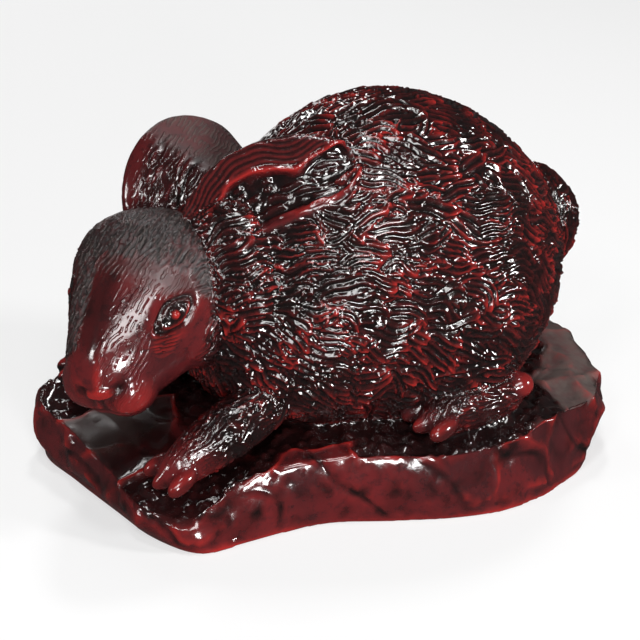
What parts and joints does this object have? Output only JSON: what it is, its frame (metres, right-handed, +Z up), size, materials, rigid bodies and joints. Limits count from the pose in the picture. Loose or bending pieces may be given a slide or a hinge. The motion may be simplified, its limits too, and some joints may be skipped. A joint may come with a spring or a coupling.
{
  "type": "netsuke",
  "caption": "Small carved-look ornament of a rabbit crouching on a rough rock, one solid piece that stands on its flat underside.",
  "frame": {"origin": "middle of the box of the flat underside, on the surface it stands on", "axes": "+Z up; the rabbit's body points to -X and its left flank to -Y"},
  "size_m": [0.0498, 0.0304, 0.0332],
  "materials": {
    "red_resin": "glossy dark red cast resin with near-black toning in the hollows of the fur and brighter red on the raised edges"
  },
  "bodies": {
    "root": {"rabbit_on_rock": "red_resin"}
  },
  "joints": []
}
